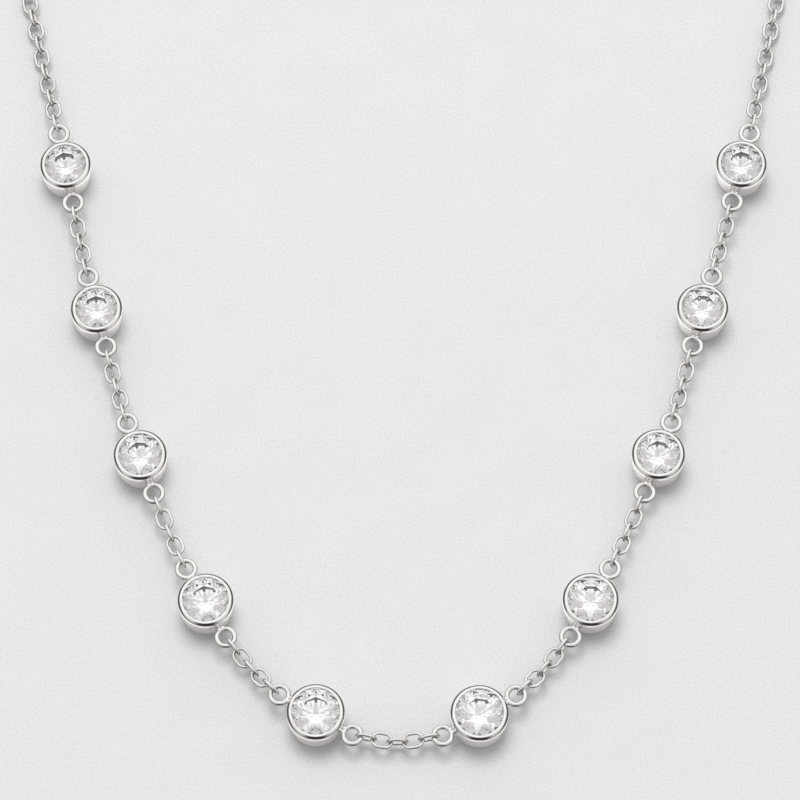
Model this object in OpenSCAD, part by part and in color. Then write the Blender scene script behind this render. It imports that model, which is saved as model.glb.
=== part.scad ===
// Crystal choker: ten round crystals in bezel cups, joined by short lengths of oval cable chain.
// It lies on a surface as a whole closed loop. Units are millimetres.
// The origin is on the surface, at the middle of the loop's outline. +Y points away from the
// crystals towards the clasp, and +Z points up.

/* [Settings] */
// Height of a bezel cup, from the surface to the top of its lip
cup_h = 3.5; // [3.2:0.1:3.8]
// Width of the lip, seen from above
lip_w = 0.52; // [0.46:0.02:0.58]
// How far the lip's outer side reaches down, to the small ridge at its foot
lip_drop = 0.86; // [0.7:0.02:0.94]
// Width of the bevel round the top of the lip, seen from above
bevel_w = 0.24; // [0.21:0.01:0.27]
// Height of that bevel
bevel_h = 0.28; // [0.24:0.01:0.32]
// How much narrower the foot of a cup is than its lip, on the radius
cup_taper = 0.2; // [0.1:0.05:0.3]
// Thickness of the cup's floor
floor_t = 0.3; // [0.25:0.05:0.4]
// Diameter of the light hole in the cup's floor
light_hole_d = 2; // [1.6:0.1:2.4]

/* [Crystals] */
// How far a crystal's girdle reaches under the lip
girdle_hold = 0.1; // [0.08:0.01:0.12]
// Depth of the girdle below the top of the lip
girdle_depth = 0.7; // [0.65:0.05:0.8]
// Thickness of the girdle
girdle_t = 0.1; // [0.06:0.02:0.12]
// Table's radius as a share of the girdle's radius
table_share = 0.57; // [0.53:0.01:0.62]
// Slope of the crown's main facets
crown_angle = 34.5; // [32:0.5:36]
// Slope of the pavilion's main facets
pavilion_angle = 40.8; // [40:0.2:41.6]
// Air left between a crystal and its cup
seat_gap = 0.04; // [0.03:0.01:0.06]

/* [Rings] */
// Outer diameter of the round rings soldered to each cup
ring_d = 2.38; // [2.2:0.02:2.6]
// Wire of those rings
ring_wire = 0.47; // [0.42:0.01:0.5]
// Height of the rings' middle above the surface
ring_z = 2.1; // [2:0.05:2.3]
// Distance from a cup's lip to the middle of its ring
ring_reach = 1.36; // [1.34:0.01:1.38]
// Diameter of the two short pegs that carry a ring, side by side
peg_d = 0.42; // [0.36:0.02:0.44]

/* [Chain] */
// Outer length of a chain link
link_len = 2.4; // [2.38:0.01:2.46]
// Outer width of a chain link
link_w = 1.8; // [1.76:0.01:1.86]
// Wire of a chain link
link_wire = 0.3; // [0.28:0.01:0.31]
// Smallest air left where one link hangs in the next
link_gap = 0.12; // [0.1:0.01:0.13]
// How far a short chain sags between two cups
chain_sag = 0.45; // [0.3:0.05:0.6]
// Distance over which an end chain comes down from its cup to the surface
drop_run = 9; // [7:0.5:12]
// Distance over which an end chain climbs from the surface to the clasp
climb_run = 5; // [4:0.5:8]

/* [Clasp] */
// Distance from the origin to the line through the clasp, along +Y
clasp_y = 75.6; // [72:0.2:80]
// Outer diameter of the clasp's main ring
clasp_d = 6; // [5.6:0.1:6.4]
// Thickness of the clasp's main ring
clasp_wire = 1; // [0.8:0.05:1.1]
// Height of the clasp's middle above the surface
clasp_z = 1.2; // [1.15:0.05:1.3]
// Tilt of the clasp, its eye down
clasp_tilt = 5; // [4:0.5:6]
// Outer diameter of the loose ring on the far end chain
end_ring_d = 3.2; // [3:0.1:3.4]
// Wire of that loose ring
end_ring_wire = 0.55; // [0.5:0.05:0.6]

/* [Hidden] */
// Columns: x and y of the cup's middle, heading from its first ring to its second, lip diameter.
// The rows follow the chain from the left end of the crystals, round the front, to the right end.
STATIONS = [
    [-36.3, -13.0, -78.0, 5.5],
    [-32.65, -29.7, -75.5, 5.55],
    [-27.7, -46.4, -69.5, 5.7],
    [-20.55, -62.65, -60.5, 5.95],
    [-8.85, -75.0, -30.0, 6.15],
    [8.35, -75.1, 29.5, 6.15],
    [20.15, -62.6, 60.5, 5.95],
    [27.55, -46.3, 69.5, 5.7],
    [32.55, -29.6, 74.5, 5.55],
    [37.05, -12.9, 75.5, 5.5]
];
// How far each short chain bows outwards between its two cups, in the order of the chain
BOWS = [0.05, 0.05, 0.05, 0.2, 0.6, 0.2, 0.05, 0.05, 0.05];
// Roll of each short chain about its own line, and of the two end chains, left and right
ROLLS = [16, 13, 10, 6, 0, -5, -10, -12, -15];
END_ROLLS = [-18, 15];
// Turn of each crystal about its own axis
CUT_TURNS = [11, 4, 19, 8, 0, 14, 21, 5, 16, 2];
// Lean of the two end chains away from +Y, left and right
END_LEANS = [12.4, 11.6];

STATION_COUNT = len(STATIONS);

// Segments round a cup or ring, round a link's bow, and round a wire
FINE = 96;
ROUND = 48;
WIRE_ROUND = 32;
// How far the lip's flank stands back from the ridge
RIDGE_PROUD = 0.015;
// Height of the ridge, of the slope above it and of the one below it, and its step out from the wall
RIDGE_H = 0.055;
RIDGE_TOP = 0.06;
RIDGE_UNDER = 0.025;
RIDGE_STEP = 0.03;
// How far the lip's edges are eased: at the ridge, under the bevel, above it, and inside the mouth
EASE_RIDGE = 0.02;
EASE_BEVEL = 0.05;
EASE_TOP = 0.04;
EASE_MOUTH = 0.07;
// Distance from the line through a ring's two pegs to the middle of each
PEG_ASIDE = 0.2;
// Small slope at the foot of a cup, and width of the seat under a crystal
FOOT_EDGE = 0.08;
SEAT_W = 0.35;
// Main facets round a crystal
CUT_SIDES = 8;
// Where the star facets and the lower halves end, as a share of the girdle's radius
STAR_REACH = 0.79;
LOWER_REACH = 0.24;
// Middle of the clasp's main ring along X, and how far the loose ring is pulled outwards from the
// middle of the clasp's wire
CLASP_X = -1;
RING_PULL = 0.3;
// A shallow parabola is longer than its chord by this many times its rise squared over the chord
PARABOLA = 8 / 3;

// Sizes that follow from the settings
link_hole = link_len - 2 * link_wire;
ring_r = (ring_d - ring_wire) / 2;
ring_hole_r = ring_d / 2 - ring_wire;
end_ring_r = (end_ring_d - end_ring_wire) / 2;
end_ring_hole_r = end_ring_d / 2 - end_ring_wire;
clasp_r = (clasp_d - clasp_wire) / 2;
girdle_z = cup_h - girdle_depth;
// The clasp lies along X with its eye on the left, and the loose ring hangs in its right side
clasp_eye_reach = (clasp_d + ring_d - ring_wire) / 2;
clasp_eye_x = CLASP_X - clasp_eye_reach * cos(clasp_tilt);
end_ring_x = CLASP_X + clasp_r + RING_PULL;

// Places on the crystals' cups
function station_xy(i) = [STATIONS[i][0], STATIONS[i][1]];
function lip_r(i) = STATIONS[i][3] / 2;
function heading_vec(angle) = [cos(angle), sin(angle)];
function first_ring_xy(i) = station_xy(i) - (lip_r(i) + ring_reach) * heading_vec(STATIONS[i][2]);
function second_ring_xy(i) = station_xy(i) + (lip_r(i) + ring_reach) * heading_vec(STATIONS[i][2]);
function stone_r(lip) = lip - lip_w + girdle_hold;

// Links between two anchors: how many, the air between them, and where the middle of each one is.
// Each anchor is a ring with a hole of the given radius, and odd says whether the number is odd.
function least_links(run, hole_a, hole_b) =
    ceil((run - hole_a - hole_b + link_gap) / (link_hole - link_gap));
function link_count(run, hole_a, hole_b, odd) =
    let (n = least_links(run, hole_a, hole_b)) (n % 2 == 1) == odd ? n : n + 1;
function slack(run, hole_a, hole_b, n) = (hole_a + hole_b + n * link_hole - run) / (n + 1);
function link_run(k, hole_a, air) = hole_a - air + link_hole / 2 + k * (link_hole - air);

// Short chain i: a shallow bow in plan and a sag, both parabolas between the two rings' wires
function chord(i) = first_ring_xy(i + 1) - second_ring_xy(i);
function chord_run(i) =
    let (c = norm(chord(i)), hung = c - 2 * ring_r)
    c + PARABOLA * (pow(chain_sag, 2) + pow(BOWS[i], 2)) / hung;
function chord_point(i, t) =
    let (c = chord(i), out = [c.y, -c.x] / norm(c), end = ring_r / norm(c),
         u = min(1, max(0, (t - end) / (1 - 2 * end))), swell = 4 * u * (1 - u),
         p = second_ring_xy(i) + t * c + BOWS[i] * swell * out)
    [p.x, p.y, ring_z - chain_sag * swell];

// End chain on one side (-1 left, 1 right): a straight lean, then one round bend to the clasp.
// It is worked out for the right side, and x is mirrored for the left one.
function end_start(side) = side < 0 ? first_ring_xy(0) : second_ring_xy(STATION_COUNT - 1);
function end_lean(side) = END_LEANS[side < 0 ? 0 : 1];
function end_x(side) = side < 0 ? clasp_eye_x : -end_ring_x;
function end_dx(side) = abs(end_start(side).x) + end_x(side);
function end_straight(side) =
    (clasp_y - end_start(side).y) * cos(end_lean(side)) / (1 + sin(end_lean(side))) - end_dx(side);
function end_bend(side) =
    (end_dx(side) + end_straight(side) * sin(end_lean(side))) / cos(end_lean(side));
function end_turn(side) = 90 + end_lean(side);
function end_run(side) = end_straight(side) + end_bend(side) * end_turn(side) * PI / 180;
function end_swept(side, s) = max(0, s - end_straight(side)) / end_bend(side) * 180 / PI;
function end_point(side, s) =
    let (lean = end_lean(side), bend = end_bend(side), swept = end_swept(side, s),
         along = min(s, end_straight(side)),
         x = abs(end_start(side).x) + along * sin(lean) - bend * (cos(lean) - cos(swept - lean)),
         y = end_start(side).y + along * cos(lean) + bend * (sin(lean) + sin(swept - lean)))
    [side * x, y, end_z(side, s)];
function end_top_z(side) = side < 0 ? link_w / 2 : end_ring_d / 2;
function end_z(side, s) =
    let (low = link_w / 2,
         from_start = max(0, s - ring_r), from_end = max(0, end_run(side) - s - end_ring_r),
         down = max(0, 1 - from_start / drop_run), up = max(0, 1 - from_end / climb_run))
    low + (ring_z - low) * pow(down, 2) + (end_top_z(side) - low) * pow(up, 2);

// One flat link along X: two round bows joined by two short straight wires
module oval_link() {
    bow_r = (link_w - link_wire) / 2;
    straight = link_len - link_w;
    union() {
        for (end = [0, 180]) {
            translate([straight / 2 * cos(end), 0, 0])
                rotate([0, 0, end - 90])
                    rotate_extrude(angle = 180, $fn = ROUND)
                        translate([bow_r, 0]) circle(d = link_wire, $fn = WIRE_ROUND);
            translate([-straight / 2, bow_r * cos(end), 0])
                rotate([0, 90, 0]) cylinder(d = link_wire, h = straight, $fn = WIRE_ROUND);
        }
    }
}

// A link at the middle of two points on the chain's line, flat at turn 0 and upright at turn 90
module link_between(a, b, turn) {
    d = b - a;
    translate((a + b) / 2)
        rotate([0, -atan2(d.z, norm([d.x, d.y])), atan2(d.y, d.x)])
            rotate([turn, 0, 0]) oval_link();
}

// Every other link is upright, the first one too, and all are rolled alike
function link_turn(k, roll) = roll + (k % 2 == 0 ? 90 : 0);

module short_chain(i) {
    run = chord_run(i);
    n = link_count(run, ring_hole_r, ring_hole_r, true);
    air = slack(run, ring_hole_r, ring_hole_r, n);
    for (k = [0:n - 1]) {
        s = link_run(k, ring_hole_r, air);
        half = link_hole / 2;
        link_between(
            chord_point(i, (s - half) / run), chord_point(i, (s + half) / run), link_turn(k, ROLLS[i]));
    }
}

module end_chain(side) {
    run = end_run(side);
    hole_b = side < 0 ? ring_hole_r : end_ring_hole_r;
    n = link_count(run, ring_hole_r, hole_b, side < 0);
    air = slack(run, ring_hole_r, hole_b, n);
    roll = END_ROLLS[side < 0 ? 0 : 1];
    for (k = [0:n - 1]) {
        s = link_run(k, ring_hole_r, air);
        half = link_hole / 2;
        link_between(end_point(side, s - half), end_point(side, s + half), link_turn(k, roll));
    }
}

module wire_ring(middle_r, wire) {
    rotate_extrude($fn = FINE) translate([middle_r, 0]) circle(d = wire, $fn = WIRE_ROUND);
}

// Corner p of an outline, eased over the given reach along its two sides towards a and b
function eased(a, p, b, reach) =
    let (start = p + reach * (a - p) / norm(a - p), end = p + reach * (b - p) / norm(b - p))
    [start, (start + 2 * p + end) / 4, end];

// The lip from its foot to its mouth: a small ridge, an upright flank, a bevel and a flat top
function lip_outline(lip) =
    let (foot = cup_h - lip_drop, mouth = lip - lip_w,
         under = [lip - RIDGE_STEP, foot],
         low = [lip, foot + RIDGE_UNDER],
         high = [lip, foot + RIDGE_UNDER + RIDGE_H],
         flank = [lip - RIDGE_PROUD, foot + RIDGE_UNDER + RIDGE_H + RIDGE_TOP],
         shoulder = [lip - RIDGE_PROUD, cup_h - bevel_h],
         top = [lip - RIDGE_PROUD - bevel_w, cup_h],
         rim = [mouth, cup_h])
    concat([under], eased(under, low, high, EASE_RIDGE), eased(low, high, flank, EASE_RIDGE), [flank],
        eased(flank, shoulder, top, EASE_BEVEL), eased(shoulder, top, rim, EASE_TOP),
        eased(top, rim, [mouth, 0], EASE_MOUTH));

function cup_outline(lip) = concat(
    [[0, 0], [lip - cup_taper - FOOT_EDGE, 0], [lip - cup_taper, FOOT_EDGE]],
    lip_outline(lip),
    [[0, cup_h - EASE_MOUTH]]
);

// Inside of the cup: the mouth, the groove round the girdle, the slope under the crystal, the well
function cup_hollow(lip) =
    let (mouth = lip - lip_w, girdle = stone_r(lip), well = girdle - SEAT_W,
         under = girdle_z - girdle_t)
    [[0, floor_t], [well, floor_t],
     [well, under - SEAT_W * tan(pavilion_angle) - seat_gap],
     [girdle + seat_gap, under - seat_gap], [girdle + seat_gap, girdle_z + seat_gap],
     [mouth, girdle_z + girdle_hold * tan(crown_angle) + 2 * seat_gap],
     [mouth, cup_h + 1], [0, cup_h + 1]];

module bezel_cup(lip) {
    difference() {
        rotate_extrude($fn = FINE) polygon(cup_outline(lip));
        rotate_extrude($fn = FINE) polygon(cup_hollow(lip));
        translate([0, 0, -1]) cylinder(d = light_hole_d, h = floor_t + 2, $fn = ROUND);
    }
}

module setting(i) {
    lip = lip_r(i);
    color([0.84, 0.84, 0.86])
    translate([STATIONS[i].x, STATIONS[i].y, 0])
        rotate([0, 0, STATIONS[i][2]]) {
            bezel_cup(lip);
            for (end = [0, 180])
                rotate([0, 0, end]) {
                    translate([lip + ring_reach, 0, ring_z]) wire_ring(ring_r, ring_wire);
                    for (side = [-1, 1])
                        translate([lip - lip_w, side * PEG_ASIDE, ring_z]) rotate([0, 90, 0])
                            cylinder(d = peg_d, h = lip_w + ring_reach - ring_r, $fn = WIRE_ROUND);
                }
        }
}

// A round brilliant cut with its girdle's top at z = 0. Main facets lie on planes of a known
// slope: a point at radius r, turned by a from the middle of a main facet, is on that plane.
function on_main(r, a, girdle, slope) = (girdle - r * cos(a)) * tan(slope);
function turned(r, a, z) = [r * cos(a), r * sin(a), z];
function cut_points(girdle) =
    let (step = 360 / CUT_SIDES, table = girdle * table_share, star = girdle * STAR_REACH,
         lower = girdle * LOWER_REACH)
    concat(
        [for (k = [0:CUT_SIDES - 1]) turned(table, k * step, on_main(table, 0, girdle, crown_angle))],
        [for (k = [0:CUT_SIDES - 1])
            turned(star, (k + 0.5) * step, on_main(star, step / 2, girdle, crown_angle))],
        [for (k = [0:2 * CUT_SIDES - 1]) turned(girdle, k * step / 2, 0)],
        [for (k = [0:2 * CUT_SIDES - 1]) turned(girdle, k * step / 2, -girdle_t)],
        [for (k = [0:CUT_SIDES - 1])
            turned(lower, (k + 0.5) * step, -girdle_t - on_main(lower, step / 2, girdle, pavilion_angle))],
        [[0, 0, -girdle_t - on_main(0, 0, girdle, pavilion_angle)]]
    );
function cut_faces() =
    let (n = CUT_SIDES, star = n, top = 2 * n, low = 4 * n, half = 6 * n, tip = 7 * n)
    concat(
        [[for (k = [n - 1:-1:0]) k]],
        [for (k = [0:n - 1]) [k, (k + 1) % n, star + k]],
        [for (k = [0:n - 1]) [k, star + k, top + 2 * k, star + (k + n - 1) % n]],
        [for (k = [0:n - 1]) [star + k, top + 2 * k + 1, top + 2 * k]],
        [for (k = [0:n - 1]) [star + k, top + (2 * k + 2) % (2 * n), top + 2 * k + 1]],
        [for (k = [0:2 * n - 1]) [top + k, top + (k + 1) % (2 * n), low + (k + 1) % (2 * n), low + k]],
        [for (k = [0:n - 1]) [low + 2 * k, low + 2 * k + 1, half + k]],
        [for (k = [0:n - 1]) [low + 2 * k + 1, low + (2 * k + 2) % (2 * n), half + k]],
        [for (k = [0:n - 1]) [low + 2 * k, half + k, tip, half + (k + n - 1) % n]]
    );

module crystal(i) {
    color([0.9, 0.93, 0.96])
    translate([STATIONS[i].x, STATIONS[i].y, girdle_z])
        rotate([0, 0, CUT_TURNS[i]])
            polyhedron(cut_points(stone_r(lip_r(i))), cut_faces());
}

module chain_piece(i) {
    color([0.78, 0.78, 0.8]) short_chain(i);
}

module chain_left() {
    color([0.78, 0.78, 0.8]) end_chain(-1);
}

module chain_right() {
    color([0.78, 0.78, 0.8]) end_chain(1);
}

// A plain ring clasp: one main ring with a small eye soldered to its side
module clasp() {
    color([0.84, 0.84, 0.86])
    translate([CLASP_X, clasp_y, clasp_z])
        rotate([0, -clasp_tilt, 0]) {
            wire_ring(clasp_r, clasp_wire);
            translate([-clasp_eye_reach, 0, 0]) wire_ring(ring_r, ring_wire);
        }
}

module end_ring() {
    color([0.84, 0.84, 0.86])
    translate([end_ring_x, clasp_y, end_ring_d / 2])
        rotate([90, 0, 0]) wire_ring(end_ring_r, end_ring_wire);
}

for (i = [1:STATION_COUNT]) {
    setting(i - 1);
    crystal(i - 1);
}
for (i = [1:STATION_COUNT - 1])
    chain_piece(i - 1);
chain_left();
chain_right();
clasp();
end_ring();
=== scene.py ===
"""Looks of a crystal choker: bezel settings, brilliant-cut crystals, cable chains and a ring clasp.

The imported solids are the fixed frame. Each silver solid is replaced by a finer surface of the same form,
and each crystal keeps its solid and gets its glass. Sizes are in millimetres until a mesh is made.
"""
import logging
import math
from dataclasses import dataclass
from enum import Enum
from typing import Sequence

import bmesh
import bpy
import numpy as np
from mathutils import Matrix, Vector


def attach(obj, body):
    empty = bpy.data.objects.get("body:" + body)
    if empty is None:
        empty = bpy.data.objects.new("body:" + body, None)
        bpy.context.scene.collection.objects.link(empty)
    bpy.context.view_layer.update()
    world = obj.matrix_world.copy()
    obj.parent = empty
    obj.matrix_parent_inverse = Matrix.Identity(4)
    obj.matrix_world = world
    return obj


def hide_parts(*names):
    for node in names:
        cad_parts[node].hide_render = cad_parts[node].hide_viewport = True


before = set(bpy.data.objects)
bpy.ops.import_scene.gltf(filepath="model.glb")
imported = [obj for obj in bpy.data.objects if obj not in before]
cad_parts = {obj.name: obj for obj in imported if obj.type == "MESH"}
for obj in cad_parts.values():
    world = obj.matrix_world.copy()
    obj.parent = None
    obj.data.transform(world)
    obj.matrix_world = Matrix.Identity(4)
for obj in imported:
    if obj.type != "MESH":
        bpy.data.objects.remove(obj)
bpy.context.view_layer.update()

LOG = logging.getLogger("choker")
MM = 0.001
FULL_TURN = 2 * math.pi
Colour = tuple[float, float, float]
PLAIN_WHITE: Colour = (1.0, 1.0, 1.0)
Pair = tuple[float, float]

# Edges that turn more than this many degrees stay crisp
CRISP_RINGS = 40
CRISP_LINKS = 60


# Plain geometry


class Axis(Enum):
    """An axis of the frame, by its number in a point."""

    X = 0
    Y = 1
    Z = 2


def turn_about(axis: Axis, degrees: float | np.ndarray) -> np.ndarray:
    """Rotation matrices about one axis of the frame.

    Args:
        axis: The axis that stays where it is.
        degrees: One angle, or an array of them.

    Returns:
        A 3 by 3 matrix for each angle, in an array that ends in (3, 3).
    """
    angle = np.radians(np.asarray(degrees, dtype=float))
    still, first, second = axis.value, (axis.value + 1) % 3, (axis.value + 2) % 3
    matrix = np.zeros(angle.shape + (3, 3))
    matrix[..., still, still] = 1
    matrix[..., first, first] = np.cos(angle)
    matrix[..., second, second] = np.cos(angle)
    matrix[..., first, second] = -np.sin(angle)
    matrix[..., second, first] = np.sin(angle)
    return matrix


def grid_faces(rows: int, columns: int, wrap_columns: bool = True) -> np.ndarray:
    """Quads between neighbouring points of a grid whose rows run round a closed path.

    Args:
        rows: Number of rows. The last row joins the first one.
        columns: Number of points in a row.
        wrap_columns: Whether the last column joins the first one too.

    Returns:
        An array of four point numbers a quad. It faces along row direction times column direction.
    """
    row, column = np.meshgrid(np.arange(rows), np.arange(columns - (not wrap_columns)), indexing="ij")
    next_row = (row + 1) % rows
    next_column = (column + 1) % columns
    corners = (
        row * columns + column,
        next_row * columns + column,
        next_row * columns + next_column,
        row * columns + next_column,
    )
    return np.stack(corners, axis=-1).reshape(-1, 4)


@dataclass(frozen=True)
class Surface:
    """A mesh of quads in millimetres, before it becomes an object.

    Each face has the number of its finish in slots; without them, all faces have the first finish.
    """

    points: np.ndarray
    faces: np.ndarray
    slots: np.ndarray | None = None

    @property
    def face_slots(self) -> np.ndarray:
        """Number of the finish of each face."""
        return np.zeros(len(self.faces), dtype=np.int32) if self.slots is None else self.slots

    def moved(self, turn: np.ndarray, shift: Sequence[float]) -> "Surface":
        """Returns the surface turned by a 3 by 3 matrix and then shifted."""
        return Surface(self.points @ turn.T + np.asarray(shift), self.faces, self.slots)

    def repeated(self, turns: np.ndarray, shifts: np.ndarray) -> "Surface":
        """Copies the surface to many places at once.

        Args:
            turns: A 3 by 3 matrix for each copy.
            shifts: A place for each copy.

        Returns:
            One surface that holds all the copies.
        """
        points = np.einsum("nij,pj->npi", turns, self.points) + shifts[:, None, :]
        starts = np.arange(len(shifts))[:, None, None] * len(self.points)
        return Surface(points.reshape(-1, 3), (self.faces[None] + starts).reshape(-1, 4))

    @staticmethod
    def joined(parts: Sequence["Surface"]) -> "Surface":
        """Returns all the parts as one surface."""
        starts = np.cumsum([0] + [len(part.points) for part in parts[:-1]])
        return Surface(
            np.concatenate([part.points for part in parts]),
            np.concatenate([part.faces + start for part, start in zip(parts, starts)]),
            np.concatenate([part.face_slots for part in parts]),
        )

    def to_object(self, name: str, sharp_degrees: float) -> bpy.types.Object:
        """Makes a Blender object at the origin, with its place in its mesh.

        Args:
            name: Name of the object and its mesh.
            sharp_degrees: Edges that turn more than this stay crisp.

        Returns:
            The object, linked to the scene.
        """
        mesh = bpy.data.meshes.new(name)
        mesh.vertices.add(len(self.points))
        mesh.vertices.foreach_set("co", (self.points * MM).astype(np.float32).ravel())
        mesh.loops.add(self.faces.size)
        mesh.loops.foreach_set("vertex_index", self.faces.astype(np.int32).ravel())
        mesh.polygons.add(len(self.faces))
        mesh.polygons.foreach_set("loop_start", np.arange(0, self.faces.size, 4, dtype=np.int32))
        mesh.polygons.foreach_set("material_index", self.face_slots.astype(np.int32))
        mesh.update(calc_edges=True)
        close_poles(mesh)
        mesh.polygons.foreach_set("use_smooth", np.ones(len(mesh.polygons), dtype=bool))
        mesh.set_sharp_from_angle(angle=math.radians(sharp_degrees))
        piece = bpy.data.objects.new(name, mesh)
        bpy.context.scene.collection.objects.link(piece)
        return piece


def close_poles(mesh: bpy.types.Mesh) -> None:
    """Merges the points of each pole, drops the faces that vanish, and turns all faces outwards.

    Args:
        mesh: The mesh to tidy, in metres.
    """
    work = bmesh.new()
    work.from_mesh(mesh)
    bmesh.ops.remove_doubles(work, verts=work.verts, dist=1e-7)
    bmesh.ops.recalc_face_normals(work, faces=work.faces)
    work.to_mesh(mesh)
    work.free()


def rounded(corners: np.ndarray, steps: int) -> np.ndarray:
    """Rounds the corners of a closed outline.

    Each corner P becomes a parabola that starts and ends at its own distance from P on the two sides:
    (1 - t) squared times the start, plus 2 t (1 - t) times P, plus t squared times the end.

    Args:
        corners: Rows of two coordinates and the rounding's distance.
        steps: Points in each rounding.

    Returns:
        Rows of two coordinates.
    """
    place, reach = corners[:, :2], corners[:, 2:]
    before = np.roll(place, 1, axis=0) - place
    after = np.roll(place, -1, axis=0) - place
    start = place + reach * before / np.linalg.norm(before, axis=1, keepdims=True)
    end = place + reach * after / np.linalg.norm(after, axis=1, keepdims=True)
    t = np.linspace(0, 1, steps)[None, :, None]
    curve = (1 - t) ** 2 * start[:, None] + 2 * t * (1 - t) * place[:, None] + t**2 * end[:, None]
    return curve.reshape(-1, 2)


def lathe(profile: np.ndarray, steps: int, closed: bool) -> Surface:
    """Carries a profile of radius and height round the Z axis.

    A point is at radius times (cos u, sin u), at the profile's own height.

    Args:
        profile: Rows of radius and height, up the outside and down the inside.
        steps: Points round the axis.
        closed: Whether the profile's end joins its start.

    Returns:
        The turned surface.
    """
    u = np.linspace(0, FULL_TURN, steps, endpoint=False)[:, None]
    radius, height = profile[None, :, 0], profile[None, :, 1]
    points = np.stack([radius * np.cos(u), radius * np.sin(u), height + 0 * u], axis=-1)
    return Surface(points.reshape(-1, 3), grid_faces(steps, len(profile), closed))


def wire_ring(middle_r: float, wire: float, steps: int, wire_steps: int) -> Surface:
    """Ring of round wire, flat in the XY plane.

    A point is at radius R + w cos v and height w sin v, with v going round the wire.

    Args:
        middle_r: Radius to the middle of the wire.
        wire: Diameter of the wire.
        steps: Points round the ring.
        wire_steps: Points round the wire.

    Returns:
        The ring's surface.
    """
    v = np.linspace(0, FULL_TURN, wire_steps, endpoint=False)
    profile = np.stack([middle_r + wire / 2 * np.cos(v), wire / 2 * np.sin(v)], axis=-1)
    return lathe(profile, steps, True)


# Node tools


def add_node(tree: bpy.types.NodeTree, kind: str, **values: object) -> bpy.types.Node:
    """Adds a node and sets its own properties.

    Args:
        tree: Tree that gets the node.
        kind: Type name of the node.
        **values: Properties of the node, by name.

    Returns:
        The node.
    """
    node = tree.nodes.new(kind)
    for name, value in values.items():
        setattr(node, name, value)
    return node


def feed(tree: bpy.types.NodeTree, target: bpy.types.NodeSocket, source: object) -> None:
    """Links a source socket to a target, or sets the target's own value when it isn't a socket."""
    if isinstance(source, bpy.types.NodeSocket):
        tree.links.new(source, target)
    else:
        target.default_value = source


def math_node(tree: bpy.types.NodeTree, operation: str, *inputs: object) -> bpy.types.NodeSocket:
    """Adds a Math node.

    Args:
        tree: Tree that gets the node.
        operation: Name of the operation.
        *inputs: A socket or a number for each input, in order.

    Returns:
        The node's result.
    """
    node = add_node(tree, "ShaderNodeMath", operation=operation)
    for socket, source in zip(node.inputs, inputs):
        feed(tree, socket, source)
    return node.outputs[0]


def smooth_range(
    tree: bpy.types.NodeTree, value: object, span: Pair, to_low: object = 0.0, to_high: object = 1.0
) -> bpy.types.NodeSocket:
    """Adds a Map Range node that rises smoothly.

    Args:
        tree: Tree that gets the node.
        value: Socket that is mapped.
        span: Values where the rise starts and ends.
        to_low: Result at the start.
        to_high: Result at the end.

    Returns:
        The mapped value.
    """
    node = add_node(tree, "ShaderNodeMapRange", interpolation_type="SMOOTHSTEP")
    for name, source in (
        ("Value", value), ("From Min", span[0]), ("From Max", span[1]), ("To Min", to_low),
        ("To Max", to_high),
    ):
        feed(tree, node.inputs[name], source)
    return node.outputs["Result"]


def mix_colours(
    tree: bpy.types.NodeTree, share: object, first: object, second: object, blend: str = "MIX"
) -> bpy.types.NodeSocket:
    """Adds a Mix node for colours.

    Args:
        tree: Tree that gets the node.
        share: How much of the second colour, from 0 to 1.
        first: First colour or socket.
        second: Second colour or socket.
        blend: How the second one is put on the first one.

    Returns:
        The mixed colour.
    """
    node = add_node(tree, "ShaderNodeMix", data_type="RGBA", blend_type=blend)
    feed(tree, node.inputs["Factor"], share)
    feed(tree, node.inputs["A"], first)
    feed(tree, node.inputs["B"], second)
    return node.outputs["Result"]


def noise(
    tree: bpy.types.NodeTree, place: bpy.types.NodeSocket, scale: object, detail: float = 2.0
) -> bpy.types.NodeSocket:
    """Adds a Noise Texture and returns its value, which is 0.5 on average."""
    node = add_node(tree, "ShaderNodeTexNoise")
    feed(tree, node.inputs["Vector"], place)
    feed(tree, node.inputs["Scale"], scale)
    node.inputs["Detail"].default_value = detail
    return node.outputs["Fac"]


def bumped(
    tree: bpy.types.NodeTree, height: bpy.types.NodeSocket, strength: float, distance: float
) -> bpy.types.NodeSocket:
    """Adds a Bump node and returns its normal.

    Args:
        tree: Tree that gets the node.
        height: Height of the surface, from 0 to 1.
        strength: Share of the bump that is used.
        distance: Depth of the bump in millimetres.

    Returns:
        The normal.
    """
    node = add_node(tree, "ShaderNodeBump")
    node.inputs["Strength"].default_value = strength
    node.inputs["Distance"].default_value = distance * MM
    feed(tree, node.inputs["Height"], height)
    return node.outputs["Normal"]


def shade(tree: bpy.types.NodeTree, values: dict[str, object]) -> None:
    """Adds the Principled shader and the material's output.

    Args:
        tree: The material's tree.
        values: A socket or a value for each input of the shader, by the input's name.
    """
    shader = add_node(tree, "ShaderNodeBsdfPrincipled")
    for name, source in values.items():
        feed(tree, shader.inputs[name], source)
    feed(tree, add_node(tree, "ShaderNodeOutputMaterial").inputs["Surface"], shader.outputs["BSDF"])


def opaque(colour: Colour) -> tuple[float, float, float, float]:
    """Returns a colour with full alpha."""
    return (*colour, 1.0)


def new_tree(material: bpy.types.Material) -> bpy.types.NodeTree:
    """Switches a material to nodes and returns its empty tree."""
    material.use_nodes = True
    material.node_tree.nodes.clear()
    return material.node_tree


# Finishes

# Cells a metre of each noise in the polish, and the noise values between which an effect rises
PATCH_SCALE = 700.0
PATCH_SPAN = (0.5, 0.75)
WEAR_SCALE = 2600.0
WEAR_SPAN = (0.35, 0.7)
HAIRLINE_SCALE = 4000.0
HAIRLINE_TURN = (0.3, 0.5, 0.7)
HAIRLINE_SQUEEZE = (1.0, 9.0, 9.0)


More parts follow.
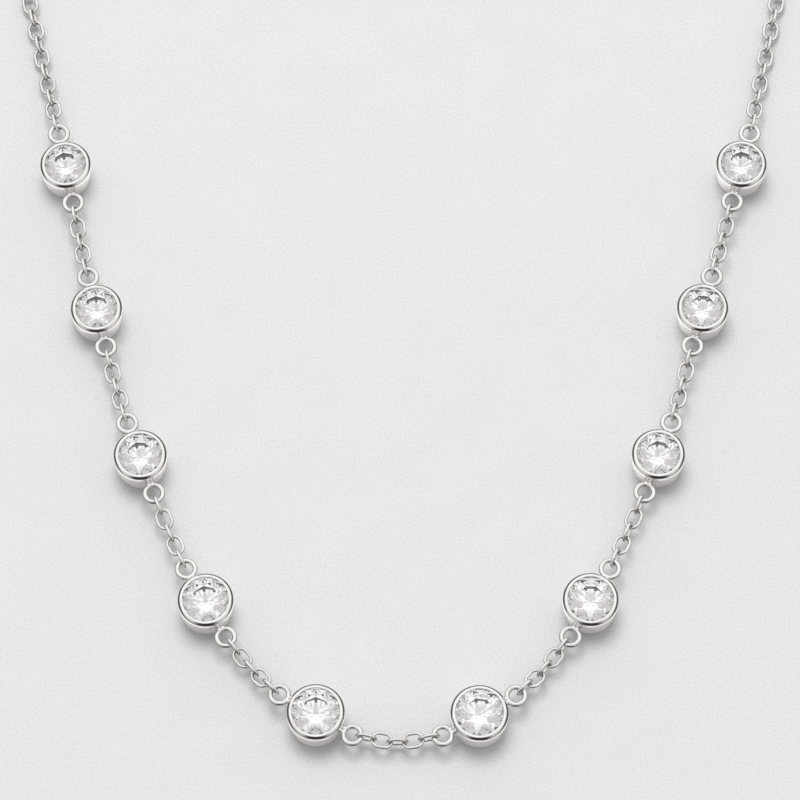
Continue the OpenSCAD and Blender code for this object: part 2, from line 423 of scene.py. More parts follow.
def polish_group() -> bpy.types.NodeTree:
    """Builds the group that all polished silver shares.

    Its colour drifts towards a tarnish in soft patches. Its roughness drifts between two values, and its
    height holds the fine hairlines that a polishing cloth leaves, which run mostly one way.

    Returns:
        The node group.
    """
    group = bpy.data.node_groups.new("polish", "ShaderNodeTree")
    for name, kind in (
        ("Silver", "NodeSocketColor"), ("Tarnish", "NodeSocketColor"),
        ("Tarnish Amount", "NodeSocketFloat"), ("Smoothest", "NodeSocketFloat"),
        ("Dullest", "NodeSocketFloat"),
    ):
        group.interface.new_socket(name, in_out="INPUT", socket_type=kind)
    for name, kind in (
        ("Colour", "NodeSocketColor"), ("Roughness", "NodeSocketFloat"), ("Hairlines", "NodeSocketFloat")
    ):
        group.interface.new_socket(name, in_out="OUTPUT", socket_type=kind)
    given = add_node(group, "NodeGroupInput").outputs
    result = add_node(group, "NodeGroupOutput").inputs
    place = add_node(group, "ShaderNodeTexCoord").outputs["Object"]
    patches = smooth_range(group, noise(group, place, PATCH_SCALE), PATCH_SPAN)
    share = math_node(group, "MULTIPLY", patches, given["Tarnish Amount"])
    feed(group, result["Colour"], mix_colours(group, share, given["Silver"], given["Tarnish"]))
    wear = noise(group, place, WEAR_SCALE, 3.0)
    roughness = smooth_range(group, wear, WEAR_SPAN, given["Smoothest"], given["Dullest"])
    feed(group, result["Roughness"], roughness)
    stretch = add_node(group, "ShaderNodeMapping")
    stretch.inputs["Rotation"].default_value = HAIRLINE_TURN
    stretch.inputs["Scale"].default_value = HAIRLINE_SQUEEZE
    feed(group, stretch.inputs["Vector"], place)
    feed(group, result["Hairlines"], noise(group, stretch.outputs["Vector"], HAIRLINE_SCALE))
    return group


@dataclass(frozen=True)
class SilverFinish:
    """Sterling silver, polished unless its own values say otherwise."""

    name: str
    silver: Colour = (0.945, 0.935, 0.925)
    tarnish: Colour = (0.80, 0.765, 0.73)
    tarnish_amount: float = 0.5
    smoothest: float = 0.05
    dullest: float = 0.11
    hairline_strength: float = 0.02
    hairline_depth: float = 0.01
    metal: float = 1.0
    # Painted shade: below 1, steep and downward-facing surfaces get this share of the colour
    flank_shade: float = 1.0
    flank_span: Pair = (0.2, 0.62)

    def material(self, polish: bpy.types.NodeTree) -> bpy.types.Material:
        """Builds the finish.

        Args:
            polish: The group that all polished silver shares.

        Returns:
            The material.
        """
        material = bpy.data.materials.new(self.name)
        tree = new_tree(material)
        worn = add_node(tree, "ShaderNodeGroup", node_tree=polish)
        worn.inputs["Silver"].default_value = opaque(self.silver)
        worn.inputs["Tarnish"].default_value = opaque(self.tarnish)
        worn.inputs["Tarnish Amount"].default_value = self.tarnish_amount
        worn.inputs["Smoothest"].default_value = self.smoothest
        worn.inputs["Dullest"].default_value = self.dullest
        colour = worn.outputs["Colour"]
        # Painted shade on steep flanks and undersides
        if self.flank_shade < 1:
            colour = self.with_dark_flanks(tree, colour)
        normal = bumped(tree, worn.outputs["Hairlines"], self.hairline_strength, self.hairline_depth)
        shade(tree, {
            "Metallic": self.metal,
            "Base Color": colour,
            "Roughness": worn.outputs["Roughness"],
            "Normal": normal,
        })
        return material

    def with_dark_flanks(
        self, tree: bpy.types.NodeTree, colour: bpy.types.NodeSocket
    ) -> bpy.types.NodeSocket:
        """Paints shade into the colour on steep and downward-facing surfaces, so that thin wires get dark
        outlines.

        Args:
            tree: The material's tree.
            colour: The silver's colour.

        Returns:
            The colour, with painted shade where the surface is steep or faces down.
        """
        split = add_node(tree, "ShaderNodeSeparateXYZ")
        feed(tree, split.inputs[0], add_node(tree, "ShaderNodeNewGeometry").outputs["Normal"])
        flat = smooth_range(tree, split.outputs["Z"], self.flank_span, self.flank_shade, 1.0)
        return mix_colours(tree, 1.0, colour, flat, "MULTIPLY")


@dataclass(frozen=True)
class CrystalFinish:
    """Clear cut crystal, polished on its facets and frosted round its girdle."""

    name: str = "cut crystal"
    clear: Colour = (0.99, 0.992, 1.0)
    bend: float = 2.12
    frost: float = 0.3
    girdle_low: float = 2.69
    girdle_high: float = 2.81

    def material(self) -> bpy.types.Material:
        """Builds the finish, with frost in the band of height that holds the girdle.

        Returns:
            The material.
        """
        material = bpy.data.materials.new(self.name)
        tree = new_tree(material)
        place = add_node(tree, "ShaderNodeTexCoord").outputs["Object"]
        split = add_node(tree, "ShaderNodeSeparateXYZ")
        feed(tree, split.inputs[0], place)
        above = math_node(tree, "GREATER_THAN", split.outputs["Z"], self.girdle_low * MM)
        below = math_node(tree, "LESS_THAN", split.outputs["Z"], self.girdle_high * MM)
        girdle = math_node(tree, "MULTIPLY", above, below)
        shade(tree, {
            "Base Color": opaque(self.clear),
            "Metallic": 0.0,
            "Transmission Weight": 1.0,
            "IOR": self.bend,
            "Roughness": math_node(tree, "MULTIPLY", girdle, self.frost),
        })
        return material


@dataclass(frozen=True)
class PaperFinish:
    """Pale matt paper under the choker, with a fine tooth and faint mottling."""

    name: str = "pale paper"
    dark: Colour = (0.784, 0.776, 0.786)
    light: Colour = (0.852, 0.843, 0.853)
    blotch_scale: float = 160.0
    blotch_share: float = 0.15
    grain_scale: float = 4200.0
    grain_share: float = 0.85
    tone_span: Pair = (0.35, 0.65)
    # Painted reflection: in the metal's reflections alone the paper's colour is scaled by these, lighter
    # seen straight down, darker at a flat angle
    mirrored_down: float = 1.55
    mirrored_steep: float = 1.05
    mirrored_flat: float = 0.1
    down_span: Pair = (0.08, 0.3)
    flat_span: Pair = (0.3, 0.62)
    tooth_strength: float = 0.15
    tooth_depth: float = 0.1
    roughness: float = 0.85
    gloss: float = 0.2

    def material(self) -> bpy.types.Material:
        """Builds the finish.

        In the metal's reflections alone the paper's colour is painted lighter where it is seen straight
        down, and painted darker where it is seen at a flat angle.

        Returns:
            The material.
        """
        material = bpy.data.materials.new(self.name)
        tree = new_tree(material)
        place = add_node(tree, "ShaderNodeTexCoord").outputs["Object"]
        blotches = noise(tree, place, self.blotch_scale, 3.0)
        faint = math_node(tree, "MULTIPLY", blotches, self.blotch_share)
        grain = noise(tree, place, self.grain_scale)
        both = math_node(tree, "MULTIPLY_ADD", grain, self.grain_share, faint)
        share = smooth_range(tree, both, self.tone_span)
        colour = mix_colours(tree, share, opaque(self.dark), opaque(self.light))
        # Painted reflection tone of the paper, used on glossy rays only
        glossy = add_node(tree, "ShaderNodeLightPath").outputs["Is Glossy Ray"]
        facing = add_node(tree, "ShaderNodeLayerWeight").outputs["Facing"]
        steep = smooth_range(tree, facing, self.down_span, self.mirrored_down, self.mirrored_steep)
        mirrored = smooth_range(tree, facing, self.flat_span, steep, self.mirrored_flat)
        tone = mix_colours(tree, glossy, opaque(PLAIN_WHITE), mirrored)
        shade(tree, {
            "Roughness": self.roughness,
            "Specular IOR Level": self.gloss,
            "Base Color": mix_colours(tree, 1.0, colour, tone, "MULTIPLY"),
            "Normal": bumped(tree, both, self.tooth_strength, self.tooth_depth),
        })
        return material


# Settings


@dataclass(frozen=True)
class Station:
    """Where a cup stands on the loop: its middle, its heading in degrees and its lip's diameter."""

    x: float
    y: float
    heading: float
    lip_d: float

    @property
    def lip_r(self) -> float:
        """Radius of the cup's lip."""
        return self.lip_d / 2

    @property
    def middle(self) -> np.ndarray:
        """Middle of the cup on the surface."""
        return np.array([self.x, self.y])

    @property
    def forward(self) -> np.ndarray:
        """Direction from the cup's first ring to its second."""
        angle = math.radians(self.heading)
        return np.array([math.cos(angle), math.sin(angle)])


STATIONS = (
    Station(x=-36.3, y=-13.0, heading=-78.0, lip_d=5.5),
    Station(x=-32.65, y=-29.7, heading=-75.5, lip_d=5.55),
    Station(x=-27.7, y=-46.4, heading=-69.5, lip_d=5.7),
    Station(x=-20.55, y=-62.65, heading=-60.5, lip_d=5.95),
    Station(x=-8.85, y=-75.0, heading=-30.0, lip_d=6.15),
    Station(x=8.35, y=-75.1, heading=29.5, lip_d=6.15),
    Station(x=20.15, y=-62.6, heading=60.5, lip_d=5.95),
    Station(x=27.55, y=-46.3, heading=69.5, lip_d=5.7),
    Station(x=32.55, y=-29.6, heading=74.5, lip_d=5.55),
    Station(x=37.05, y=-12.9, heading=75.5, lip_d=5.5),
)


class SettingFinish(Enum):
    """Number of each silver in a setting's mesh."""

    OUTSIDE = 0
    INSIDE = 1
    WIRE = 2


@dataclass(frozen=True)
class SolderedRing:
    """Round ring of wire on two short pegs side by side, soldered to a cup's side."""

    outer_d: float = 2.38
    wire: float = 0.47
    height: float = 2.1
    reach: float = 1.36
    peg_d: float = 0.42
    peg_aside: float = 0.2
    fillet: float = 0.07
    peg_root: float = 0.4
    seen_in: float = 0.05
    peg_rows: int = 17
    peg_steps: int = 24
    steps: int = 64
    wire_steps: int = 20
    fullness: float = 0.03

    @property
    def middle_r(self) -> float:
        """Radius to the middle of the wire."""
        return (self.outer_d - self.wire) / 2

    @property
    def hole_r(self) -> float:
        """Radius of the ring's hole."""
        return self.outer_d / 2 - self.wire

    def peg(self, lip: float) -> Surface:
        """One peg between a cup and its ring, along X.

        Its radius grows from the middle of its visible length to both ends with the square of the
        distance, as the solder's fillets do.

        Args:
            lip: Radius of the cup's lip.

        Returns:
            The peg's surface, closed at both ends.
        """
        start, end = lip - self.peg_root, lip + self.reach - self.middle_r
        seen_from, seen_to = lip - self.seen_in, end - self.wire / 2
        along = np.linspace(start, end, self.peg_rows)
        away = (along - (seen_from + seen_to) / 2) / ((seen_to - seen_from) / 2)
        radius = self.peg_d / 2 + self.fillet * np.minimum(away**2, 1.0)
        profile = np.concatenate([[[0.0, start]], np.stack([radius, along], axis=-1), [[0.0, end]]])
        turned = lathe(profile, self.peg_steps, False)
        return turned.moved(turn_about(Axis.Y, 90), (0, 0, self.height))

    def surface(self, lip: float) -> Surface:
        """Returns the ring and its two pegs on a cup's +X side, all in the wire's silver.

        The ring is drawn a hair fuller than the solid's, which looks thin beside the photo's.
        """
        ring = wire_ring(self.middle_r, self.wire + 2 * self.fullness, self.steps, self.wire_steps)
        placed = ring.moved(np.eye(3), (lip + self.reach, 0, self.height))
        peg = self.peg(lip)
        pegs = [peg.moved(np.eye(3), (0, aside, 0)) for aside in (-self.peg_aside, self.peg_aside)]
        arm = Surface.joined([placed, *pegs])
        return Surface(arm.points, arm.faces, np.full(len(arm.faces), SettingFinish.WIRE.value))


@dataclass(frozen=True)
class BezelSetting:
    """Cup with a bevelled lip over a small ridge, a seat for its crystal, a light hole and two rings."""

    height: float = 3.5
    lip_w: float = 0.52
    foot_in: float = 0.2
    floor: float = 0.3
    hole_r: float = 1.0
    girdle_hold: float = 0.1
    girdle_depth: float = 0.7
    girdle_t: float = 0.1
    crown_slope: float = 34.5
    pavilion_slope: float = 40.8
    air: float = 0.04
    seat_w: float = 0.35
    ridge_z: float = 2.68
    wall_in: float = 0.03
    flank_in: float = 0.015
    bevel_in: float = 0.255
    bevel_h: float = 0.285
    steps: int = 128
    corner_steps: int = 5
    ring: SolderedRing = SolderedRing()

    def outer_corners(self, lip: float) -> list[tuple[float, float, float]]:
        """Corners up the outside: foot, wall, ridge, flank, bevel and flat top.

        Args:
            lip: Radius of the lip.

        Returns:
            Radius, height and rounding of each corner.
        """
        return [
            (self.hole_r, 0.0, 0.05),
            (lip - self.foot_in, 0.0, 0.1),
            (lip - self.wall_in, self.ridge_z - 0.04, 0.015),
            (lip, self.ridge_z - 0.015, 0.02),
            (lip, self.ridge_z + 0.04, 0.025),
            (lip - self.flank_in, self.ridge_z + 0.08, 0.03),
            (lip - self.flank_in, self.height - self.bevel_h, 0.05),
            (lip - self.bevel_in, self.height, 0.04),
            (lip - self.lip_w, self.height, 0.07),
        ]

    def inner_corners(self, lip: float) -> list[tuple[float, float, float]]:
        """Corners down the inside: mouth, groove, seat, well and floor.

        Args:
            lip: Radius of the lip.

        Returns:
            Radius, height and rounding of each corner.
        """
        mouth = lip - self.lip_w
        girdle = mouth + self.girdle_hold
        girdle_z = self.height - self.girdle_depth
        under = girdle_z - self.girdle_t
        seat_drop = self.seat_w * math.tan(math.radians(self.pavilion_slope))
        claw_rise = self.girdle_hold * math.tan(math.radians(self.crown_slope))
        return [
            (mouth, girdle_z + claw_rise + 2 * self.air, 0.02),
            (girdle + self.air, girdle_z + self.air, 0.01),
            (girdle + self.air, under - self.air, 0.01),
            (girdle - self.seat_w, under - seat_drop - self.air, 0.05),
            (girdle - self.seat_w, self.floor, 0.1),
            (self.hole_r, self.floor, 0.05),
        ]

    def cup(self, lip: float) -> Surface:
        """The cup, a closed profile turned about its axis.

        Args:
            lip: Radius of the lip.

        Returns:
            The cup's surface. Its faces below the mouth have the inside's silver.
        """
        outer, inner = self.outer_corners(lip), self.inner_corners(lip)
        profile = rounded(np.array(outer + inner), self.corner_steps)
        turned = lathe(profile, self.steps, True)
        segment = np.arange(len(turned.faces)) % len(profile)
        hidden = segment >= (len(outer) + 1) * self.corner_steps
        slots = np.where(hidden, SettingFinish.INSIDE.value, SettingFinish.OUTSIDE.value)
        return Surface(turned.points, turned.faces, slots)

    def build(
        self, number: int, station: Station, silvers: Sequence[bpy.types.Material]
    ) -> bpy.types.Object:
        """Makes one setting in its place.

        Args:
            number: The setting's number along the chain, from 1.
            station: Where it stands.
            silvers: Its materials, in the order of SettingFinish.

        Returns:
            The piece, which stands for the solid of the same number.
        """
        lip = station.lip_r
        arm = self.ring.surface(lip)
        parts = [self.cup(lip), arm, arm.moved(turn_about(Axis.Z, 180), (0, 0, 0))]
        whole = Surface.joined(parts).moved(turn_about(Axis.Z, station.heading), (station.x, station.y, 0))
        piece = whole.to_object(f"silver_setting_{number}", CRISP_RINGS)
        dress(piece, silvers, f"setting_{number}")
        return piece


def dress(piece: bpy.types.Object, finishes: Sequence[bpy.types.Material], node: str) -> None:
    """Gives a silver piece its finishes, hangs it under the root body and hides the solid that it takes the
    place of.

    Args:
        piece: The new piece.
        finishes: Its materials, in the order of its mesh's finish numbers.
        node: Name of the solid that it replaces.
    """
    for finish in finishes:
        piece.data.materials.append(finish)
    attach(piece, "root")
    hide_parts(node)


# Crystals


@dataclass(frozen=True)
class CutCrystals:
    """The brilliant-cut crystals, which keep their solids."""

    finish: CrystalFinish = CrystalFinish()

    def build(self, count: int) -> list[bpy.types.Object]:
        """Gives the solids of this many crystals their glass and returns them."""
        glass = self.finish.material()
        crystals = [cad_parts[f"crystal_{number}"] for number in range(1, count + 1)]
        for crystal in crystals:
            crystal.material_slots[0].material = glass
        return crystals


# Chains


class LinkDetail(Enum):
    """How finely a link is made: points along each bow, and points round the wire."""

    FINE = (11, 12)
    PLAIN = (6, 6)


class Parity(Enum):
    """Whether a chain has an odd or an even number of links."""

    EVEN = 0
    ODD = 1


@dataclass(frozen=True)
class ShortCurve:
    """Line of a short chain between two rings: a shallow bow in plan and a sag, both parabolas."""

    start: np.ndarray
    end: np.ndarray
    bow: float
    sag: float
    top: float
    ring_r: float

    @property
    def chord(self) -> float:
        """Straight distance between the two rings' middles."""
        return float(np.linalg.norm(self.end - self.start))

    @property
    def run(self) -> float:
        """Length of the line: its chord, and the parabola's 8/3 of the rise squared over the chord."""
        hung = self.chord - 2 * self.ring_r
        return self.chord + 8 / 3 * (self.sag**2 + self.bow**2) / hung

    def at(self, s: np.ndarray) -> np.ndarray:
        """Points on the line.

        The swell is 4 u (1 - u), with u from 0 to 1 between the two rings' wires.

        Args:
            s: Distances along the line.

        Returns:
            One point for each distance.
        """
        t = s / self.run
        edge = self.ring_r / self.chord
        u = np.clip((t - edge) / (1 - 2 * edge), 0, 1)
        swell = 4 * u * (1 - u)
        way = (self.end - self.start) / self.chord
        outwards = np.array([way[1], -way[0]])
        plan = self.start + np.outer(t * self.chord, way) + np.outer(self.bow * swell, outwards)
        return np.column_stack([plan, self.top - self.sag * swell])


@dataclass(frozen=True)
class EndCurve:
    """Line of an end chain: a straight lean away from +Y, then one round bend to the clasp.

    It is worked out for the right side, and x is mirrored for the left one.
    """

    side: int
    start: np.ndarray
    lean: float
    end_x: float
    clasp_y: float
    ring_z: float
    low: float
    end_top: float
    ring_r: float
    end_r: float
    drop_run: float = 9.0
    climb_run: float = 5.0

    @property
    def across(self) -> float:
        """How far the line's start lies to the side of its end."""
        return abs(self.start[0]) + self.end_x

    @property
    def straight(self) -> float:
        """Length of the straight part."""
        lean = math.radians(self.lean)
        rise = self.clasp_y - self.start[1]
        return rise * math.cos(lean) / (1 + math.sin(lean)) - self.across

    @property
    def bend_r(self) -> float:
        """Radius of the bend."""
        lean = math.radians(self.lean)
        return (self.across + self.straight * math.sin(lean)) / math.cos(lean)

    @property
    def run(self) -> float:
        """Length of the line."""
        return self.straight + self.bend_r * math.radians(90 + self.lean)

    def at(self, s: np.ndarray) -> np.ndarray:
        """Points on the line, which comes down from the cup and climbs to the clasp.

        Both slopes fall with the square of the distance that is left.

        Args:
            s: Distances along the line.

        Returns:
            One point for each distance.
        """
        lean = math.radians(self.lean)
        swept = np.maximum(0, s - self.straight) / self.bend_r
        along = np.minimum(s, self.straight)
        x = abs(self.start[0]) + along * math.sin(lean)
        x = x - self.bend_r * (math.cos(lean) - np.cos(swept - lean))
        y = self.start[1] + along * math.cos(lean) + self.bend_r * (math.sin(lean) + np.sin(swept - lean))
        from_start = np.maximum(0, s - self.ring_r)
        from_end = np.maximum(0, self.run - s - self.end_r)
        down = np.maximum(0, 1 - from_start / self.drop_run)
        up = np.maximum(0, 1 - from_end / self.climb_run)
        z = self.low + (self.ring_z - self.low) * down**2 + (self.end_top - self.low) * up**2
        return np.column_stack([self.side * x, y, z])


@dataclass(frozen=True)
class CableChain:
    """Oval cable chain of interlocked links of round wire."""

    length: float = 2.4
    width: float = 1.8
    wire: float = 0.3
    gap: float = 0.12
    fullness: float = 0.03
    fine_links: int = 14

    @property
    def hole(self) -> float:
        """Inner length of a link."""
        return self.length - 2 * self.wire

    def link(self, detail: LinkDetail) -> Surface:
        """One flat link along X.

        Its path is two half circles about points apart by length minus width, and the wire's round is
        carried along it: a point is at the path plus w (cos v along the path's outward side, sin v up).
        w is a hair over the wire's radius, because the solid's wire looks thin beside the photo's.

        Args:
            detail: How finely it is made.

        Returns:
            The link's surface.
        """
        bow_steps, wire_steps = detail.value
        bow_r = (self.width - self.wire) / 2
        half = (self.length - self.width) / 2
        bow = np.linspace(-math.pi / 2, math.pi / 2, bow_steps)
        angle = np.concatenate([bow, bow + math.pi])
        middle = np.repeat([half, -half], bow_steps)
        v = np.linspace(0, FULL_TURN, wire_steps, endpoint=False)
        drawn_r = self.wire / 2 + self.fullness
        radius = bow_r + drawn_r * np.cos(v)[None, :]
        x = middle[:, None] + radius * np.cos(angle)[:, None]
        y = radius * np.sin(angle)[:, None]
        z = drawn_r * np.sin(v)[None, :] + 0 * x
        points = np.stack([x, y, z], axis=-1).reshape(-1, 3)
        return Surface(points, grid_faces(len(angle), wire_steps))

    def surface(
        self, curve: ShortCurve | EndCurve, holes: Pair, parity: Parity, roll: float,
        fine: int | None = None,
    ) -> Surface:
        """All the links along a line, every other one upright.

        Args:
            curve: The chain's line.
            holes: Radius of the hole in the ring at each end.
            parity: Whether the number of links is odd or even.
            roll: Turn of the whole chain about its line, in degrees.
            fine: How many links from the start are finely made, which is all of them when it is None.

        Returns:
            The links' surface.
        """
        least = math.ceil((curve.run - sum(holes) + self.gap) / (self.hole - self.gap))
        count = least if least % 2 == parity.value else least + 1
        air = (sum(holes) + count * self.hole - curve.run) / (count + 1)
        number = np.arange(count)
        middle = holes[0] - air + self.hole / 2 + number * (self.hole - air)
        start = curve.at(middle - self.hole / 2)
        end = curve.at(middle + self.hole / 2)
        way = end - start
        heading = np.degrees(np.arctan2(way[:, 1], way[:, 0]))
        dip = -np.degrees(np.arctan2(way[:, 2], np.hypot(way[:, 0], way[:, 1])))
        turns = (
            turn_about(Axis.Z, heading) @ turn_about(Axis.Y, dip)
            @ turn_about(Axis.X, roll + 90 * (number % 2 == 0))
        )
        places = (start + end) / 2
        near = number < (count if fine is None else fine)
        parts = [self.link(LinkDetail.FINE).repeated(turns[near], places[near])]
        if not near.all():
            parts.append(self.link(LinkDetail.PLAIN).repeated(turns[~near], places[~near]))
        return Surface.joined(parts)


@dataclass(frozen=True)
class RingClasp:
    """Plain ring clasp with a soldered eye, and the loose ring that hangs in it."""

    x: float = -1.0
    y: float = 75.6
    z: float = 1.2
    outer_d: float = 6.0
    wire: float = 1.0
    tilt: float = 5.0
    eye_d: float = 2.38
    eye_wire: float = 0.47
    loose_d: float = 3.2
    loose_wire: float = 0.55
    loose_pull: float = 0.3

    @property
    def middle_r(self) -> float:
        """Radius to the middle of the main ring's wire."""
        return (self.outer_d - self.wire) / 2

    @property
    def eye_reach(self) -> float:
        """Distance between the middles of the main ring and the eye."""
        return (self.outer_d + self.eye_d - self.eye_wire) / 2

    @property
    def eye_x(self) -> float:
        """Place of the eye's middle along X."""
        return self.x - self.eye_reach * math.cos(math.radians(self.tilt))

    @property
    def loose_x(self) -> float:
        """Place of the loose ring's middle along X."""
        return self.x + self.middle_r + self.loose_pull

    @property
    def loose_middle_r(self) -> float:
        """Radius to the middle of the loose ring's wire."""
        return (self.loose_d - self.loose_wire) / 2

    def build(self, finish: bpy.types.Material) -> list[bpy.types.Object]:
        """Makes the clasp and the loose ring of one silver and returns the two pieces."""
        main = wire_ring(self.middle_r, self.wire, steps=96, wire_steps=24)
        eye = wire_ring((self.eye_d - self.eye_wire) / 2, self.eye_wire, steps=64, wire_steps=20)
        eye = eye.moved(np.eye(3), (-self.eye_reach, 0, 0))
        whole = Surface.joined([main, eye]).moved(turn_about(Axis.Y, -self.tilt), (self.x, self.y, self.z))
        clasp = whole.to_object("silver_clasp", CRISP_RINGS)
        dress(clasp, [finish], "clasp")
        loose = wire_ring(self.loose_middle_r, self.loose_wire, steps=72, wire_steps=20)
        upright = loose.moved(turn_about(Axis.X, 90), (self.loose_x, self.y, self.loose_d / 2))
        ring = upright.to_object("silver_end_ring", CRISP_RINGS)
        dress(ring, [finish], "end_ring")
        return [clasp, ring]


@dataclass(frozen=True)
class Chains:
    """All the lengths of chain, between the settings and back to the clasp."""

    chain: CableChain = CableChain()
    clasp: RingClasp = RingClasp()
    ring: SolderedRing = SolderedRing()
    sag: float = 0.45
    bows: tuple[float, ...] = (0.05, 0.05, 0.05, 0.2, 0.6, 0.2, 0.05, 0.05, 0.05)
    rolls: tuple[float, ...] = (16, 13, 10, 6, 0, -5, -10, -12, -15)
    end_rolls: Pair = (-18, 15)
    end_leans: Pair = (12.4, 11.6)

    def ring_place(self, station: Station, way: int) -> np.ndarray:
        """Returns the middle of a cup's first ring (way -1) or second ring (way 1), in plan."""
        return station.middle + way * (station.lip_r + self.ring.reach) * station.forward

    def short(self, number: int, finish: bpy.types.Material) -> bpy.types.Object:
        """Makes the short chain with this number, counted from 1, and returns the piece."""
        curve = ShortCurve(
            start=self.ring_place(STATIONS[number - 1], 1), end=self.ring_place(STATIONS[number], -1),
            bow=self.bows[number - 1], sag=self.sag, top=self.ring.height, ring_r=self.ring.middle_r,
        )
        holes = (self.ring.hole_r, self.ring.hole_r)
        links = self.chain.surface(curve, holes, Parity.ODD, self.rolls[number - 1])
        piece = links.to_object(f"silver_chain_{number}", CRISP_LINKS)
        dress(piece, [finish], f"chain_{number}")
        return piece

    def end(self, side: int, finish: bpy.types.Material) -> bpy.types.Object:
        """Makes the left end chain (side -1) or the right one (side 1), and returns the piece."""
        left = side < 0
        low = self.chain.width / 2
        curve = EndCurve(
            side=side,
            start=self.ring_place(STATIONS[0], -1) if left else self.ring_place(STATIONS[-1], 1),
            lean=self.end_leans[0 if left else 1],
            end_x=self.clasp.eye_x if left else -self.clasp.loose_x,
            clasp_y=self.clasp.y, ring_z=self.ring.height, low=low,
            end_top=low if left else self.clasp.loose_d / 2,
            ring_r=self.ring.middle_r, end_r=self.clasp.loose_middle_r,
        )
        far_hole = self.ring.hole_r if left else self.clasp.loose_d / 2 - self.clasp.loose_wire
        parity = Parity.ODD if left else Parity.EVEN
        roll = self.end_rolls[0 if left else 1]
        links = self.chain.surface(curve, (self.ring.hole_r, far_hole), parity, roll, self.chain.fine_links)
        name = "chain_left" if left else "chain_right"
        piece = links.to_object(f"silver_{name}", CRISP_LINKS)
        dress(piece, [finish], name)
        return piece

    def build(self, finish: bpy.types.Material) -> list[bpy.types.Object]:
        """Makes all the chains of one silver and returns the pieces, the short ones first."""
        shorts = [self.short(number, finish) for number in range(1, len(STATIONS))]
        return shorts + [self.end(-1, finish), self.end(1, finish)]


# Studio


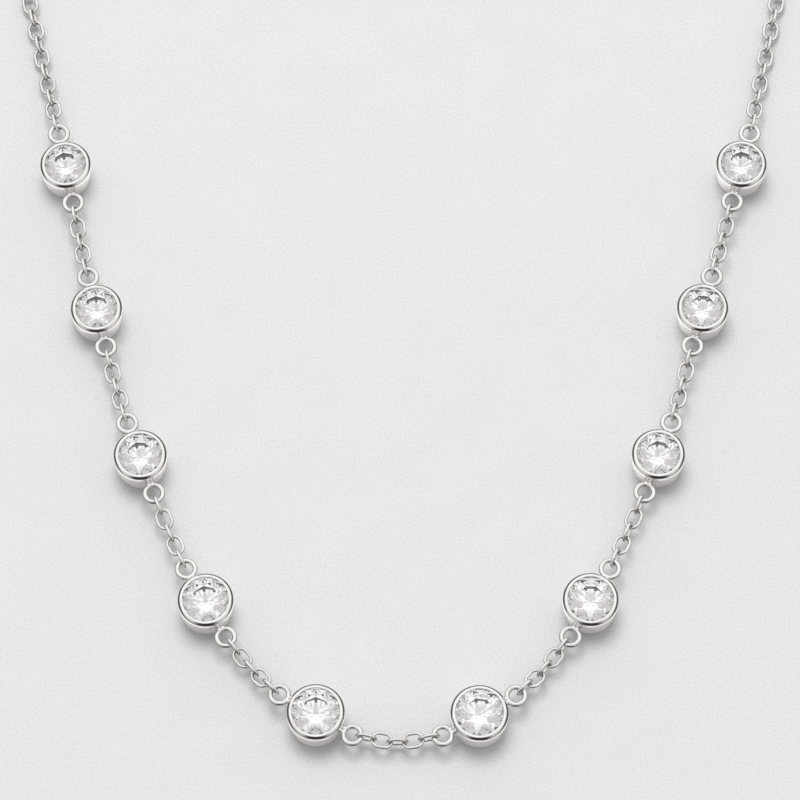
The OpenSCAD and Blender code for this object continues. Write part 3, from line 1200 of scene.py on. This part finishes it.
@dataclass(frozen=True)
class Studio:
    """Plain pale floor, soft light and the camera at the photograph's viewing angle."""

    elevation: float = 70.0
    distance: float = 645.16
    aim_y: float = -39.0
    lens: float = 270.0
    sensor: float = 36.0
    floor_half: float = 2000.0
    bright: Colour = (1.0, 0.995, 0.99)
    ceiling: Colour = (0.57, 0.55, 0.54)
    bright_sides: Colour = (0.73, 0.72, 0.71)
    low_sides: Colour = (0.3, 0.29, 0.28)
    dark_near: Colour = (0.04, 0.037, 0.035)
    crystal_low: Colour = (0.4, 0.39, 0.38)
    backdrop: Colour = (0.8, 0.79, 0.795)
    near_narrowing: float = 0.2
    near_range: Pair = (0.62, 0.9)
    side_range: Pair = (0.55, 0.9)
    ceiling_range: Pair = (-0.15, 0.3)
    rise_range: Pair = (-0.02, 0.1)
    soft_share: float = 0.75
    crystal_share: float = 1.18
    lamp_power: float = 5.95
    lamp_size: float = 650.0
    lamp_distance: float = 1100.0
    lamp_way: tuple[float, float, float] = (-0.06, 0.36, 0.931)

    def camera(self) -> None:
        """Makes the camera: a long lens that looks down on the cups."""
        angle = math.radians(self.elevation)
        data = bpy.data.cameras.new("camera")
        data.lens = self.lens
        data.sensor_width = self.sensor
        camera = bpy.data.objects.new("camera", data)
        camera.location = (
            0, (self.aim_y - self.distance * math.cos(angle)) * MM, self.distance * math.sin(angle) * MM
        )
        camera.rotation_euler = (math.radians(90 - self.elevation), 0, 0)
        bpy.context.scene.collection.objects.link(camera)
        bpy.context.scene.camera = camera

    def floor(self) -> None:
        """Makes the paper that the choker lies on."""
        half = self.floor_half
        edge = np.array([-half, half])
        x, y = np.meshgrid(edge, edge, indexing="ij")
        points = np.stack([x, y, 0 * x], axis=-1).reshape(-1, 3)
        mesh = bpy.data.meshes.new("floor")
        mesh.from_pydata((points * MM).tolist(), [], [(0, 2, 3, 1)])
        mesh.materials.append(PaperFinish().material())
        floor = bpy.data.objects.new("floor", mesh)
        bpy.context.scene.collection.objects.link(floor)

    def world(self) -> None:
        """Makes the soft surroundings: bright above and behind, grey on the near side, dark low down.

        The lowest part of the near side is darkest. Seen through the crystals, what is low is less dark.
        """
        world = bpy.data.worlds.new("studio")
        bpy.context.scene.world = world
        world.use_nodes = True
        tree = world.node_tree
        tree.nodes.clear()
        split = add_node(tree, "ShaderNodeSeparateXYZ")
        feed(tree, split.inputs[0], add_node(tree, "ShaderNodeTexCoord").outputs["Generated"])
        height = split.outputs["Z"]
        aside = math_node(tree, "ABSOLUTE", split.outputs["X"])
        towards = math_node(tree, "MULTIPLY", split.outputs["Y"], -1.0)
        nearness = math_node(tree, "MULTIPLY_ADD", aside, -self.near_narrowing, towards)
        near = smooth_range(tree, nearness, self.near_range)
        side = smooth_range(tree, aside, self.side_range)
        ceiling = mix_colours(
            tree, smooth_range(tree, towards, self.ceiling_range), opaque(self.bright), opaque(self.ceiling)
        )
        above = mix_colours(tree, side, ceiling, opaque(self.bright_sides))
        rise = smooth_range(tree, height, self.rise_range)
        ray = add_node(tree, "ShaderNodeLightPath").outputs
        through = ray["Is Transmission Ray"]
        dark = mix_colours(tree, through, opaque(self.dark_near), opaque(self.crystal_low))
        low = mix_colours(tree, through, opaque(self.low_sides), opaque(self.crystal_low))
        far = mix_colours(tree, rise, low, above)
        seen = mix_colours(tree, near, far, dark)
        diffuse = math_node(tree, "MULTIPLY_ADD", ray["Is Diffuse Ray"], self.soft_share - 1, 1.0)
        share = math_node(tree, "MULTIPLY_ADD", through, self.crystal_share - 1, diffuse)
        lit = mix_colours(tree, 1.0, seen, share, "MULTIPLY")
        shown = mix_colours(tree, ray["Is Camera Ray"], lit, opaque(self.backdrop))
        light = add_node(tree, "ShaderNodeBackground")
        feed(tree, light.inputs["Color"], shown)
        feed(tree, add_node(tree, "ShaderNodeOutputWorld").inputs["Surface"], light.outputs["Background"])

    def lamp(self) -> None:
        """Makes the soft round lamp above the middle."""
        data = bpy.data.lights.new("soft_lamp", "AREA")
        data.shape = "DISK"
        data.size = self.lamp_size * MM
        data.energy = self.lamp_power
        lamp = bpy.data.objects.new("soft_lamp", data)
        lamp.visible_glossy = False
        lamp.visible_transmission = False
        way = Vector(self.lamp_way).normalized()
        lamp.location = (Vector((0, self.aim_y, 0)) + way * self.lamp_distance) * MM
        lamp.rotation_euler = way.to_track_quat("Z", "Y").to_euler()
        bpy.context.scene.collection.objects.link(lamp)

    def build(self) -> None:
        """Makes the whole studio, the camera first."""
        self.camera()
        self.floor()
        self.world()
        self.lamp()
        bpy.context.scene.view_settings.view_transform = "Standard"


def write_sizes() -> None:
    """Updates the view layer, so that the pieces' places are current."""
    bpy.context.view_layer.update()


def main() -> None:
    """Builds the studio and the choker, and reports each piece."""
    logging.basicConfig(level=logging.INFO, format="%(message)s")
    Studio().build()
    polish = polish_group()
    cup_silver = SilverFinish(name="polished silver").material(polish)
    # The chain and ring silvers have painted shade on the flanks and undersides of their wires
    chain_silver = SilverFinish(
        name="chain silver", smoothest=0.05, dullest=0.11, flank_shade=0.48
    ).material(polish)
    ring_silver = SilverFinish(name="ring silver", flank_shade=0.38).material(polish)
    white_silver = SilverFinish(
        name="pickled white silver", silver=(0.97, 0.97, 0.975), tarnish=(0.93, 0.925, 0.92),
        smoothest=0.5, dullest=0.6, metal=0.1,
    ).material(polish)
    setting = BezelSetting()
    silvers = (cup_silver, white_silver, ring_silver)
    pieces = [setting.build(number, station, silvers) for number, station in enumerate(STATIONS, 1)]
    pieces += CutCrystals().build(len(STATIONS))
    pieces += Chains().build(chain_silver)
    pieces += RingClasp().build(cup_silver)
    for piece in pieces:
        LOG.info("%s: %d faces", piece.name, len(piece.data.polygons))
    write_sizes()


if __name__ == "__main__":
    main()
